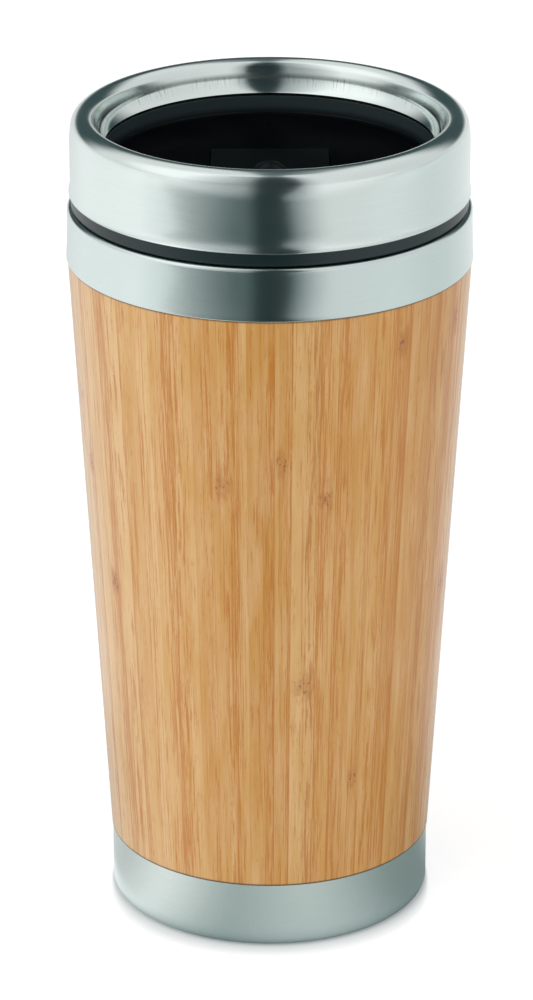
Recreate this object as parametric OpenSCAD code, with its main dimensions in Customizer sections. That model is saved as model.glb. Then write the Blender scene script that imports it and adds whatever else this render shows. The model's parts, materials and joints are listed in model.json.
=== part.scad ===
// Travel mug with a bamboo sleeve: a double-wall steel cup, a bamboo sleeve held between a
// steel collar and a steel base cup, and a push-in lid with a steel ring and a drink slider.
// Millimetres. +Z is up, the origin is the centre of the foot, and the drinking side is -Y.

/* [Heights] */
// Height of the steel base cup
base_h = 14.5; // [10:0.5:24]
// Length of bamboo that shows between the base cup and the collar
sleeve_h = 129.8; // [90:0.1:180]
// Height of the steel collar, from the bamboo to the mouth
collar_h = 11.1; // [8:0.1:18]
// Height of the plastic flange that shows between the collar and the lid ring
flange_h = 3; // [2:0.1:5]
// Height of the lid's steel ring
ring_h = 16.6; // [14:0.1:24]

/* [Diameters] */
// Diameter of the base cup
base_d = 68.2; // [60:0.1:74]
// Diameter of the collar at its lower edge
collar_d = 85; // [80:0.1:96]

/* [Walls] */
// Sheet of the base cup, the collar and the lid ring
sheet_t = 0.5; // [0.4:0.05:0.9]
// Sheet of the inner liner
liner_t = 0.4; // [0.3:0.05:0.7]
// Sheet of the outer shell, under the bamboo
shell_t = 0.4; // [0.3:0.05:0.8]
// Thickness of the bamboo sleeve
sleeve_wall = 2.4; // [1.8:0.1:3.5]
// Air gap between the shell's wall and the liner's wall
air_gap = 2; // [1:0.1:3]
// Air gap between the shell's floor and the liner's floor
floor_gap = 4; // [2:0.1:8]

/* [Body details] */
// How far the collar stands proud of the bamboo
collar_proud = 0.6; // [0.1:0.05:0.8]
// How far the bamboo stands proud of the base cup
sleeve_proud = 0.15; // [0:0.05:0.4]
// How far the collar flares out at its lower edge
collar_flare = 0.3; // [0:0.05:0.5]
// Height of the straight edge below that flare
collar_edge_h = 2; // [0.5:0.1:3]
// Height of the flare itself
collar_flare_h = 1.5; // [0.8:0.1:3]
// Radius inside the bend of the collar's shoulder
collar_bend = 0.3; // [0.1:0.1:1.5]
// Radius of the liner's bend at the mouth
lip_bend = 1.5; // [0.8:0.1:2.2]
// Depth of the straight mouth that the lid's plug fits
mouth_h = 17; // [14.5:0.5:24]
// Radius of the liner's floor corner
liner_corner = 6; // [3:0.5:12]
// Radius of the shell's floor corner
shell_corner = 4; // [2:0.5:8]
// Radius of the base cup's lower corner
base_corner = 2; // [1:0.1:4]
// Width of the foot ring that the mug stands on
foot_w = 4.6; // [3:0.1:8]
// Height of the recess inside the foot ring
base_recess = 1.5; // [0.8:0.1:2.5]
// Height of the sleeve's tongues inside the collar and the base cup
tongue_h = 3.6; // [2:0.1:6]
// Height of the straight edge at the end of a steel sheet
hem = 0.6; // [0.3:0.1:1.5]

/* [Lid ring] */
// How far the lid ring's wall lies inside the collar's lower edge
ring_inset = 1.15; // [0.6:0.05:2]
// How far the lid ring flares out at its lower edge
ring_flare = 0.3; // [0:0.05:0.6]
// Height of that flare
ring_flare_h = 2.2; // [1:0.1:4]
// Width of the rolled rim, from the outer wall to the throat
rim_w = 5.2; // [5.2:0.1:7]
// Radius of the rim on the outside
rim_round_out = 3; // [2:0.1:3]
// Radius of the rim on the inside
rim_round_in = 2.1; // [1:0.1:2.1]
// Depth of the crease in the ring's inner wall, below the rim
crease_depth = 3.5; // [3:0.1:4.5]
// How far the crease lies inside the throat
crease_in = 0.4; // [0.1:0.1:0.6]
// Lean of the ring's inner wall just below the crease, in degrees
inner_lean = 8; // [2:1:15]
// Depth of the ring's inner edge, below the rim
inner_depth = 7.2; // [6.5:0.1:9]

/* [Lid body] */
// How far the dish's wall lies inside the ring's throat
dish_inset = 1.95; // [1.6:0.05:2.5]
// Depth of the dish's floor, below the rim
dish_depth = 11.4; // [10:0.1:13.5]
// Thickness of the dish's floor
floor_t = 2; // [1.5:0.1:3]
// Gap behind the ring's throat, in front of the wall that backs it
backing_gap = 0.4; // [0.3:0.1:0.8]
// Thickness of the wall that backs the ring's throat
backing_t = 1.2; // [0.8:0.1:1.4]
// How far the flange lies inside the ring's lower edge
flange_inset = 0.35; // [0.1:0.05:0.8]
// Chamfer on the flange's lower edge and the plug's tip
edge_chamfer = 0.5; // [0.2:0.1:1]
// How far the plug reaches into the mouth
plug_depth = 12.4; // [9:0.1:14]
// Radial gap between the plug and the mouth
plug_gap = 0.9; // [0.5:0.1:1.5]
// Thickness of the plug's skirt
skirt_t = 2.2; // [2:0.1:3]
// Diameter of the vent hole
vent_d = 2; // [1.2:0.1:4]
// Distance from the dish's wall to the vent hole's centre
vent_edge = 7; // [4:0.1:9]

/* [Seal] */
// Height of the seal's groove
seal_h = 5; // [4:0.1:6]
// Depth of the seal's groove in the skirt
seal_groove = 1.2; // [0.8:0.1:1.4]
// Distance from the mouth down to the seal's groove
seal_drop = 3.2; // [2:0.1:4]
// Number of sealing lips
seal_lips = 2; // [1:1:3]
// Thickness of a sealing lip at its tip
lip_tip = 0.5; // [0.3:0.1:0.8]
// Thickness of a sealing lip at its root
lip_root = 1.1; // [0.8:0.1:1.2]
// How far a sealing lip turns up
lip_rise = 0.6; // [0.2:0.1:0.8]

/* [Drink slider] */
// Width of the slider
slider_w = 24.5; // [18:0.1:28]
// Length of the slider
slider_l = 38; // [36:0.1:42]
// Thickness of the slider
slider_t = 1.8; // [1.4:0.1:2.4]
// How far the slider opens
slider_travel = 13; // [12.5:0.1:14]
// Gap between the slider's rounded end and the dish's wall
slider_end_gap = 0.9; // [0.5:0.1:1.1]
// Height of the shoulders beside the slider
shoulder_h = 2; // [1.5:0.1:3]
// Radius of the shoulders' curved edge
shoulder_arc = 28.4; // [24:0.1:34]
// Distance from the dish's axis to the crown of that edge, away from the drinking side
shoulder_reach = 13.4; // [10:0.1:20]
// Chamfer on that edge
shoulder_chamfer = 0.5; // [0.2:0.1:1]
// Width of the drink hole
sip_w = 15; // [10:0.1:18]
// Length of the drink hole, along the slider's travel
sip_l = 8; // [6:0.1:8]
// Distance from the dish's wall to the drink hole
sip_edge = 4.3; // [3:0.1:4.5]
// Width of the stem that carries the slider
stem_w = 5; // [3:0.1:8]
// Length of the stem
stem_l = 6; // [4:0.1:6]
// How far the closed slider reaches past the stem's slot
slot_cover = 0.4; // [0.2:0.1:2]
// Width of the clip under the floor
clip_w = 14; // [10:0.1:18]
// Length of the clip
clip_l = 10; // [9:0.1:12]
// Thickness of the clip
clip_t = 1.6; // [1:0.1:2.5]
// Height of the stem's snap head, below the clip
head_h = 0.9; // [0.6:0.1:1.5]
// How far the snap head grips under the clip
head_grip = 0.8; // [0.4:0.1:1.2]
// Diameter of the thumb nub
nub_d = 8; // [6:0.1:12]
// Height of the thumb nub
nub_h = 2.6; // [1.5:0.1:3.5]
// Distance from the slider's square end to the thumb nub's centre
nub_back = 16.6; // [14:0.1:22]

/* [Fits] */
// Gap between pieces that are pressed or bonded together
fit_gap = 0.1; // [0.05:0.01:0.2]
// Gap round the slider and its stem
run_gap = 0.2; // [0.1:0.05:0.3]
// Gap between the seal's lips and the mouth
seal_gap = 0.1; // [0.05:0.01:0.2]

/* [Hidden] */
$fn = 96;

// Steps in each rounded stretch of a profile
arc_steps = 10;
// Overlap that makes a cut pass clear of a face
pass = 1;

// Levels, from the foot up
z_sleeve = base_h;
z_collar = z_sleeve + sleeve_h;
z_mouth = z_collar + collar_h;
z_ring = z_mouth + flange_h;
z_top = z_ring + ring_h;

// The bamboo's outer cone, and the walls nested inside it
base_r = base_d / 2;
collar_r = collar_d / 2;
sleeve_low_r = base_r + sleeve_proud;
sleeve_high_r = collar_r - collar_proud;
taper = (sleeve_high_r - sleeve_low_r) / sleeve_h;
taper_deg = atan(taper);
function sleeve_r(z) = sleeve_low_r + taper * (z - z_sleeve);
function sleeve_bore_r(z) = sleeve_r(z) - sleeve_wall;
function shell_r(z) = sleeve_bore_r(z) - fit_gap;
function liner_r(z) = shell_r(z) - shell_t - air_gap - liner_t;

// The cup
shell_floor_z = base_recess + sheet_t;
liner_floor_z = shell_floor_z + shell_t + floor_gap + liner_t;
mouth_low_z = z_mouth - mouth_h;
mouth_r = liner_r(mouth_low_z);
shoulder_r = collar_r - collar_flare;
collar_round = collar_bend + sheet_t;
lip_z = z_mouth - sheet_t;

// The lid, from the rim down and from the ring in
ring_r = collar_r - ring_inset;
throat_r = ring_r - rim_w;
dish_r = throat_r - dish_inset;
flange_r = ring_r + ring_flare - flange_inset;
ledge_z = z_top - inner_depth;
crease_r = throat_r - crease_in;
crease_z = z_top - crease_depth;
floor_z = z_top - dish_depth;
backing_r = throat_r + sheet_t + backing_gap;
dish_out_r = backing_r + backing_t;
plug_r = mouth_r - plug_gap;
skirt_r = plug_r - skirt_t;
plug_z = z_mouth - plug_depth;
groove_r = plug_r - seal_groove;
groove_top_z = z_mouth - seal_drop;

// The slider, closed, as seen from above
slider_end_r = dish_r - slider_end_gap;
slider_back_y = slider_l - slider_end_r;
slider_z = floor_z + run_gap;
stem_back_y = slider_back_y - slot_cover - run_gap - slider_travel;
stem_front_y = stem_back_y - stem_l;
stem_mid_y = (stem_back_y + stem_front_y) / 2;
clip_z = floor_z - floor_t - run_gap - clip_t;
channel_w = slider_w + 2 * run_gap;
sip_y = -(dish_r - sip_edge - sip_l / 2);

// Points along an arc, from angle a to angle b
function arc(x, y, r, a, b) =
    [for (i = [0 : arc_steps]) let (t = a + (b - a) * i / arc_steps) [x + r * cos(t), y + r * sin(t)]];

// Unit normal to the left of the stretch that starts at point i
function left_normal(path, i) =
    let (d = path[i + 1] - path[i]) [-d[1], d[0]] / norm(d);

// Point i of a path, moved to the left by t, with its neighbouring stretches kept parallel
function beside(path, i, t) =
    let (n = left_normal(path, max(i - 1, 0)), m = left_normal(path, min(i, len(path) - 2)))
    path[i] + t * (n + m) / (1 + n * m);

// Outline of a sheet whose one face follows a path, and whose thickness lies to the left of it
function sheet(path, t) =
    concat(path, [for (i = [len(path) - 1 : -1 : 0]) beside(path, i, t)]);

// Points along the arc from point a down to point b, whose wall leans in by angle t at point a
function bowl_arc(a, b, t) =
    let (lean = atan2(a[0] - b[0], a[1] - b[1]), r = norm(b - a) / 2 / sin(lean - t))
    arc(a[0] - r * cos(t), a[1] + r * sin(t), r, -t, t - 2 * lean);

// Turns an outline about the mug's axis
module turned(outline) {
    rotate_extrude() polygon(outline);
}

// A ring of square section, as a half profile
module ring_section(r_in, r_out, z_low, z_high) {
    translate([r_in, z_low]) square([r_out - r_in, z_high - z_low]);
}

// The arc that turns a floor into a tapered wall: r_wall is the wall's radius at the arc's end
function floor_corner(r_wall, z_floor, corner) =
    arc(r_wall - corner * cos(taper_deg), z_floor + corner, corner, -90, -taper_deg);

// Drawn steel cup that holds the drink, turned outwards at the mouth
module inner_liner() {
    corner_z = liner_floor_z + liner_corner * (1 - sin(taper_deg));
    path = concat(
        [[0, liner_floor_z]],
        floor_corner(liner_r(corner_z), liner_floor_z, liner_corner),
        [[mouth_r, mouth_low_z]],
        arc(mouth_r + lip_bend, lip_z - lip_bend, lip_bend, 180, 90),
        [[shoulder_r - collar_round, lip_z]]
    );
    color("silver") turned(sheet(path, -liner_t));
}

// Outer steel cup, hidden by the bamboo, closed at the top by the liner's lip
module outer_shell() {
    corner_z = shell_floor_z + shell_corner * (1 - sin(taper_deg));
    shell_top_z = lip_z - liner_t;
    path = concat(
        [[0, shell_floor_z]],
        floor_corner(shell_r(corner_z), shell_floor_z, shell_corner),
        [[shell_r(shell_top_z - hem), shell_top_z - hem], [shell_r(shell_top_z - hem), shell_top_z]]
    );
    color("gainsboro") turned(sheet(path, shell_t));
}

// Bamboo sleeve: a tapered tube with a tongue at each end
module bamboo_sleeve() {
    low_z = z_sleeve - tongue_h;
    high_z = z_collar + tongue_h;
    low_tongue_r = base_r - sheet_t - fit_gap;
    high_tongue_r = shoulder_r - sheet_t - fit_gap;
    color("burlywood") turned([
        [sleeve_bore_r(low_z), low_z],
        [low_tongue_r, low_z],
        [low_tongue_r, z_sleeve],
        [sleeve_low_r, z_sleeve],
        [sleeve_high_r, z_collar],
        [high_tongue_r, z_collar],
        [high_tongue_r, high_z],
        [sleeve_bore_r(high_z), high_z],
    ]);
}

// Steel base cup, standing on a ring round a shallow recess
module base_cup() {
    foot_out_r = base_r - base_corner;
    foot_in_r = foot_out_r - foot_w;
    path = concat(
        [[0, base_recess], [foot_in_r - base_recess, base_recess], [foot_in_r, 0]],
        arc(foot_out_r, base_corner, base_corner, -90, 0),
        [[base_r, base_h]]
    );
    color("lightsteelblue") turned(sheet(path, sheet_t));
}

// Steel collar over the mouth, with a flared lower edge and a rounded shoulder
module collar_band() {
    flare_z = z_collar + collar_edge_h;
    path = concat(
        [[collar_r, z_collar], [collar_r, flare_z], [shoulder_r, flare_z + collar_flare_h]],
        arc(shoulder_r - collar_round, z_mouth - collar_round, collar_round, 0, 90),
        [[mouth_r + lip_bend, z_mouth]]
    );
    color("lightsteelblue") turned(sheet(path, sheet_t));
}

// Steel ring of the lid: outer wall, rolled rim and creased inner wall
module lid_ring() {
    path = concat(
        [[ring_r + ring_flare, z_ring], [ring_r + ring_flare, z_ring + hem]],
        [[ring_r, z_ring + ring_flare_h]],
        arc(ring_r - rim_round_out, z_top - rim_round_out, rim_round_out, 0, 90),
        arc(throat_r + rim_round_in, z_top - rim_round_in, rim_round_in, 90, 180),
        bowl_arc([crease_r, crease_z], [dish_r, ledge_z + hem], inner_lean),
        [[dish_r, ledge_z]]
    );
    color("lightsteelblue") turned(sheet(path, sheet_t));
}

// Half profile of the lid's turned form: skirt, flange, dish wall and floor
module lid_profile() {
    difference() {
        union() {
            ring_section(0, dish_out_r, floor_z - floor_t, floor_z);
            ring_section(dish_r, dish_out_r, z_mouth, ledge_z);
            ring_section(backing_r, dish_out_r, ledge_z, crease_z);
            ring_section(skirt_r, flange_r, z_mouth + edge_chamfer, z_ring);
            ring_section(skirt_r, flange_r - edge_chamfer, z_mouth, z_ring);
            ring_section(skirt_r, plug_r, plug_z + edge_chamfer, z_mouth + edge_chamfer);
            ring_section(skirt_r, plug_r - edge_chamfer, plug_z, z_mouth);
            polygon([
                [flange_r - edge_chamfer, z_mouth],
                [flange_r, z_mouth + edge_chamfer],
                [flange_r - edge_chamfer, z_mouth + edge_chamfer],
            ]);
            polygon([
                [plug_r - edge_chamfer, plug_z],
                [plug_r, plug_z + edge_chamfer],
                [plug_r - edge_chamfer, plug_z + edge_chamfer],
            ]);
        }
        ring_section(groove_r, plug_r + pass, groove_top_z - seal_h, groove_top_z);
    }
}

// Raised shoulders either side of the slider, with a curved edge across the dish
module slider_shoulders() {
    top_z = floor_z + shoulder_h;
    difference() {
        intersection() {
            cylinder(r = dish_r + pass, h = top_z);
            translate([0, shoulder_reach - shoulder_arc, 0]) {
                cylinder(r = shoulder_arc, h = top_z - shoulder_chamfer);
                translate([0, 0, top_z - shoulder_chamfer])
                    cylinder(r1 = shoulder_arc, r2 = shoulder_arc - shoulder_chamfer, h = shoulder_chamfer);
            }
            translate([-dish_r * 2, -dish_r * 2, floor_z - floor_t / 2])
                cube([dish_r * 4, dish_r * 4, floor_t / 2 + shoulder_h]);
        }
        translate([-channel_w / 2, -dish_r, floor_z])
            cube([channel_w, 2 * dish_r, shoulder_h + pass]);
    }
}

// Outline of a slot with round ends across the slider's travel
module sip_outline() {
    end_r = sip_l / 2;
    straight = sip_w / 2 - end_r;
    square([2 * straight, sip_l], center = true);
    for (side = [-1, 1]) translate([side * straight, 0]) circle(r = end_r);
}

// Plastic lid: plug, flange and a dish with the drink hole, the slider's slot and a vent
module lid_body() {
    color("dimgray") difference() {
        union() {
            rotate_extrude() lid_profile();
            slider_shoulders();
        }
        translate([0, sip_y, floor_z - floor_t - pass])
            linear_extrude(floor_t + shoulder_h + 2 * pass) sip_outline();
        translate([-stem_w / 2 - run_gap, stem_front_y - run_gap, floor_z - floor_t - pass])
            cube([stem_w + 2 * run_gap, stem_l + slider_travel + 2 * run_gap, floor_t + 2 * pass]);
        translate([0, dish_r - vent_edge, floor_z - floor_t - pass])
            cylinder(d = vent_d, h = floor_t + 2 * pass);
    }
}

// Silicone seal in the plug's groove, with lips that turn up against the mouth
module lid_seal() {
    body_h = seal_h - 2 * fit_gap;
    low_z = groove_top_z - seal_h + fit_gap;
    tip_r = mouth_r - seal_gap;
    lip_pitch = body_h / seal_lips;
    color("black") rotate_extrude() {
        ring_section(groove_r + fit_gap, plug_r, low_z, low_z + body_h);
        for (i = [0 : seal_lips - 1]) translate([0, low_z + i * lip_pitch]) polygon([
            [plug_r - seal_groove / 2, 0],
            [plug_r, 0],
            [tip_r, lip_rise],
            [tip_r, lip_rise + lip_tip],
            [plug_r, lip_root],
            [plug_r - seal_groove / 2, lip_root],
        ]);
    }
}

// Sliding gate over the drink hole, with a thumb nub, a stem and a snap head
module drink_slider() {
    stem_low_z = clip_z - fit_gap;
    nub_ball_r = (pow(nub_d / 2, 2) + pow(nub_h, 2)) / (2 * nub_h);
    slider_top_z = slider_z + slider_t;
    color("dimgray") {
        translate([0, 0, slider_z]) linear_extrude(slider_t) intersection() {
            circle(r = slider_end_r);
            translate([-slider_w / 2, -slider_end_r]) square([slider_w, slider_l]);
        }
        intersection() {
            translate([0, slider_back_y - nub_back, slider_top_z + nub_h - nub_ball_r])
                sphere(r = nub_ball_r);
            translate([-nub_d, slider_back_y - nub_back - nub_d, slider_top_z - slider_t / 2])
                cube([2 * nub_d, 2 * nub_d, nub_h + slider_t]);
        }
        translate([-stem_w / 2, stem_front_y, stem_low_z])
            cube([stem_w, stem_l, slider_z + slider_t / 2 - stem_low_z]);
        translate([-stem_w / 2, stem_front_y - head_grip, stem_low_z - head_h])
            cube([stem_w, stem_l + 2 * head_grip, head_h]);
    }
}

// Clip under the floor, held on the stem by the snap head
module slider_clip() {
    color("dimgray") difference() {
        translate([-clip_w / 2, stem_mid_y - clip_l / 2, clip_z]) cube([clip_w, clip_l, clip_t]);
        translate([-stem_w / 2 - fit_gap, stem_front_y - fit_gap, clip_z - pass])
            cube([stem_w + 2 * fit_gap, stem_l + 2 * fit_gap, clip_t + 2 * pass]);
    }
}

inner_liner();
outer_shell();
bamboo_sleeve();
base_cup();
collar_band();
lid_body();
lid_ring();
lid_seal();
drink_slider();
slider_clip();
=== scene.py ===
# %% [markdown]
# # A travel mug in bamboo and steel
# The CAD frame already holds every solid of the mug at its true size and place. This lesson dresses that
# frame: it turns finer skins for the round pieces, carves the moulded lid, and mixes every finish from nodes.
# The mug's sizes are written in millimetres, as on a workshop drawing, and become metres when a mesh is made.
# The studio around it is laid out in metres.

# %% Load the frame
import json
import math

import bmesh
import bpy
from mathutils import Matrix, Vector


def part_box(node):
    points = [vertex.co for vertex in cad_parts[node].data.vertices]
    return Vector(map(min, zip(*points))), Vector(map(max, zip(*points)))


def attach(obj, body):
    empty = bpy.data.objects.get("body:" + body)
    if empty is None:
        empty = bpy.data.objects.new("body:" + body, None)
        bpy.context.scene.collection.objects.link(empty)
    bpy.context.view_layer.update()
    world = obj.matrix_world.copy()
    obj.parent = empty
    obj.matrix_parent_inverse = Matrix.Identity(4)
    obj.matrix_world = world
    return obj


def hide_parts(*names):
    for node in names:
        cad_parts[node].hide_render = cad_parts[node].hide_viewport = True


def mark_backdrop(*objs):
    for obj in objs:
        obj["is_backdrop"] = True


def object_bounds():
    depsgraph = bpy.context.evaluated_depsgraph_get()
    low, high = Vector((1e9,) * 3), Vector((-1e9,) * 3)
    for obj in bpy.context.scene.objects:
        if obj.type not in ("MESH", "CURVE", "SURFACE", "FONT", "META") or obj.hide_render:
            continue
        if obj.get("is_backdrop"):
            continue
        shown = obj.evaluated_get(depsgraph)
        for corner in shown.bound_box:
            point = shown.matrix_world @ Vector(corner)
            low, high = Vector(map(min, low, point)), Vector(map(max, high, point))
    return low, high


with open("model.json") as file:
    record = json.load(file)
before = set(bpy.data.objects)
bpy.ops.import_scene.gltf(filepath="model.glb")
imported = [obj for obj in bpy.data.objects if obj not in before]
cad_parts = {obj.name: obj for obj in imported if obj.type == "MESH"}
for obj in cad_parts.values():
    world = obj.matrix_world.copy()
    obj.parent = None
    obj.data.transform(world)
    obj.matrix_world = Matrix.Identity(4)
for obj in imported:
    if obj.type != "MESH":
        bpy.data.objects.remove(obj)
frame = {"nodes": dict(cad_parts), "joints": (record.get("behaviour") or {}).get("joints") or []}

cad_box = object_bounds()
MM = 0.001
print("frame:", len(frame["nodes"]), "nodes, top at", round(cad_box[1].z / MM, 1), "mm")

# %% [markdown]
# ## Levels
# A lathe hand first marks the levels on the blank. Here each level comes from the box of a CAD node, so the
# skins follow the frame. Radii and thicknesses are repeated from the drawing, beside the piece that first
# needs them. Where the real edge is softer than the drawing, a radius is eased by up to a fifth of a
# millimetre.

# %% Levels


def level(node, end):
    """Lowest (0) or highest (1) point of a CAD node, in millimetres."""
    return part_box(node)[end].z / MM


FOOT_Z = level("base_cup", 0)
SLEEVE_Z = level("base_cup", 1)
COLLAR_Z = level("collar_band", 0)
MOUTH_Z = level("collar_band", 1)
RING_Z = level("lid_ring", 0)
TOP_Z = level("lid_ring", 1)
print("levels:", [round(z, 1) for z in (FOOT_Z, SLEEVE_Z, COLLAR_Z, MOUTH_Z, RING_Z, TOP_Z)])

# %% [markdown]
# ## Turning an outline
# Most of this mug is spun, drawn or turned, so its pieces are outlines taken round an axis. A Screw modifier
# could do that. A short function does it here instead, because it leaves a plain mesh with the points that we
# choose: many steps round the axis for a smooth edge, and few along straight walls.

# %% Arcs and sheet metal


def arc(across, up, radius, start, end, steps=10):
    """Points along an arc about a centre, from one angle to another, in degrees."""
    turns = [math.radians(start + (end - start) * i / steps) for i in range(steps + 1)]
    return [(across + radius * math.cos(a), up + radius * math.sin(a)) for a in turns]


def sheet(path, thickness):
    """Closed outline of sheet metal: one face follows the path, the other lies to its left."""
    points = [Vector(p) for p in path]
    sides = [(b - a).normalized().orthogonal() for a, b in zip(points, points[1:])]
    other = []
    for i, p in enumerate(points):
        n, m = sides[max(i - 1, 0)], sides[min(i, len(sides) - 1)]
        other.append(p + thickness * (n + m) / (1 + n.dot(m)))
    return [tuple(p) for p in points + other[::-1]]


print("a wall 10 mm high, of 0.5 mm sheet:", sheet([(0, 0), (0, 10)], 0.5))

# %% Eased corners


def eased(corners, steps=5):
    """Closed outline with each corner (r, z, radius) turned into an arc."""
    outline = []
    for i, (r, z, radius) in enumerate(corners):
        p = Vector((r, z))
        if not radius:
            outline.append((r, z))
            continue
        a = (Vector(corners[i - 1][:2]) - p).normalized()
        b = (Vector(corners[(i + 1) % len(corners)][:2]) - p).normalized()
        half = a.angle(b) / 2
        centre = p + (a + b).normalized() * radius / math.sin(half)
        first, last = p + a * radius / math.tan(half), p + b * radius / math.tan(half)
        for k in range(steps + 1):
            spoke = (first - centre).lerp(last - centre, k / steps).normalized() * radius
            outline.append(tuple(centre + spoke))
    return outline


print("a triangle with one eased corner has", len(eased([(0, 0, 0), (9, 0, 1), (0, 9, 0)])), "points")

# %% The lathe
ROUND_STEPS, SHARP_DEG = 240, 32


def finish_mesh(bm, name):
    """Turns a bmesh into a smooth-shaded object, with creases kept where faces meet at an angle."""
    bmesh.ops.recalc_face_normals(bm, faces=bm.faces)
    mesh = bpy.data.meshes.new(name)
    bm.to_mesh(mesh)
    bm.free()
    mesh.shade_smooth()
    mesh.set_sharp_from_angle(angle=math.radians(SHARP_DEG))
    piece = bpy.data.objects.new(name, mesh)
    bpy.context.scene.collection.objects.link(piece)
    return piece


def turned(name, outline, steps=ROUND_STEPS):
    """Spins a closed outline, in millimetres, into a solid of revolution."""
    bm = bmesh.new()
    rings = []
    spokes = [math.tau * k / steps for k in range(steps)]
    for r, z in outline:
        if r < 1e-6:
            rings.append([bm.verts.new((0, 0, z * MM))])
            continue
        rings.append([bm.verts.new((r * MM * math.cos(a), r * MM * math.sin(a), z * MM)) for a in spokes])
    for low, high in zip(rings, rings[1:] + rings[:1]):
        if len(low) == len(high) == 1:
            continue
        for k in range(steps):
            near = [ring[i % len(ring)] for ring, i in ((low, k), (low, k + 1), (high, k + 1), (high, k))]
            bm.faces.new(dict.fromkeys(near))
    return finish_mesh(bm, name)


print("a 40 mm radius is true to", round(40 * (1 - math.cos(math.pi / ROUND_STEPS)), 4), "mm")

# %% [markdown]
# Each finished skin then takes over from its CAD node. It could be parented by hand, but a skin that rides on
# the node's own body moves with that body's joint at every pose, and needs nothing else.

# %% Taking a node's place


def stands_for(piece, node, body):
    """Lets a finer piece take the place of a CAD node, on the node's body."""
    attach(piece, body)
    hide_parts(node)
    print(piece.name, "replaces", node, "with", len(piece.data.polygons), "faces")
    return piece


# %% [markdown]
# ## The steel base cup
# The real cup is pressed from a round blank: a flat ring to stand on, a shallow recess inside it, a rounded
# corner and a straight wall. One path along its outer face, thickened to sheet metal, gives all of that.

# %% Base cup
BASE_R, BASE_CORNER, FOOT_W, RECESS, SHEET_T = 34.1, 2.0, 4.6, 1.5, 0.5
foot_out = BASE_R - BASE_CORNER
foot_in = foot_out - FOOT_W
recess_z = FOOT_Z + RECESS
base_path = [(0, recess_z), (foot_in - RECESS, recess_z), (foot_in, FOOT_Z)]
base_path += arc(foot_out, FOOT_Z + BASE_CORNER, BASE_CORNER, -90, 0) + [(BASE_R, SLEEVE_Z)]
base_cup = stands_for(turned("base_cup_skin", sheet(base_path, SHEET_T)), "base_cup", "mug")

# %% [markdown]
# ## The bamboo sleeve
# Strips of bamboo are glued edge to edge, bent into a tapered tube and sanded flush, so the sleeve is one
# turned form. It stands a little proud of the base and a little shy of the collar. Each end has a tongue that
# hides inside the steel, and the two outer corners are eased as sandpaper leaves them.

# %% Sleeve
COLLAR_R, SHOULDER_R = 42.35, 42.05
PROUD, SHY, SLEEVE_WALL = 0.22, 0.25, 2.4
TONGUE_H, TONGUE_GAP, TONGUE_EASE, SANDED = 3.6, 0.1, 0.3, 0.1
SLEEVE_LOW_R, SLEEVE_HIGH_R = BASE_R + PROUD, COLLAR_R - SHY
slope = (SLEEVE_HIGH_R - SLEEVE_LOW_R) / (COLLAR_Z - SLEEVE_Z)


def sleeve_r(z):
    """Radius of the bamboo's outer cone at a height."""
    return SLEEVE_LOW_R + slope * (z - SLEEVE_Z)


low_z, high_z = SLEEVE_Z - TONGUE_H, COLLAR_Z + TONGUE_H
low_tongue_r, high_tongue_r = BASE_R - SHEET_T - TONGUE_GAP, SHOULDER_R - SHEET_T - TONGUE_GAP
sleeve_corners = [
    (sleeve_r(low_z) - SLEEVE_WALL, low_z, 0),
    (low_tongue_r, low_z, TONGUE_EASE),
    (low_tongue_r, SLEEVE_Z, 0),
    (SLEEVE_LOW_R, SLEEVE_Z, SANDED),
    (SLEEVE_HIGH_R, COLLAR_Z, SANDED),
    (high_tongue_r, COLLAR_Z, 0),
    (high_tongue_r, high_z, TONGUE_EASE),
    (sleeve_r(high_z) - SLEEVE_WALL, high_z, 0),
]
sleeve = stands_for(turned("sleeve_skin", eased(sleeve_corners)), "bamboo_sleeve", "mug")

# %% [markdown]
# ## The collar
# A pressed ring covers the mouth, where the two steel cups are joined. Its wall flares out a little towards
# the bamboo. Two straight lines would do, but steel shows every kink as a line in its reflections, so the
# wall is one soft curve. Its shoulder is bent tightly, and its flat top is where the lid's flange sits.

# %% Collar
MOUTH_R, LIP_BEND, COLLAR_ROUND = 36.25, 1.5, 0.8
WALL_START, SWELL, WALL_STEPS = 0.5, 0.05, 16
EDGE_IN, EDGE_UP = 0.08, 0.12


def cut_edge(r, z):
    """Lower edge of a sheet, broken a little so that it isn't sharp."""
    return [(r - EDGE_IN, z), (r, z + EDGE_UP)]


collar_path = cut_edge(COLLAR_R, COLLAR_Z)
wall_low, wall_high = COLLAR_Z + WALL_START, MOUTH_Z - COLLAR_ROUND
for i in range(WALL_STEPS + 1):
    t = i / WALL_STEPS
    wall_r = SHOULDER_R + SWELL * (1 - t * t) + (COLLAR_R - SHOULDER_R - SWELL) * (1 - t) ** 3
    collar_path.append((wall_r, wall_low + (wall_high - wall_low) * t))
collar_path += arc(SHOULDER_R - COLLAR_ROUND, wall_high, COLLAR_ROUND, 5, 90)
collar_path += [(MOUTH_R + LIP_BEND, MOUTH_Z)]
collar = stands_for(turned("collar_skin", sheet(collar_path, SHEET_T)), "collar_band", "mug")

# %% [markdown]
# ## The liner
# With the lid lifted, the eye falls into the drawn inner cup. Its wall tapers with the sleeve, turns straight
# near the mouth for the lid's plug, and bends out under the collar.

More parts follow.
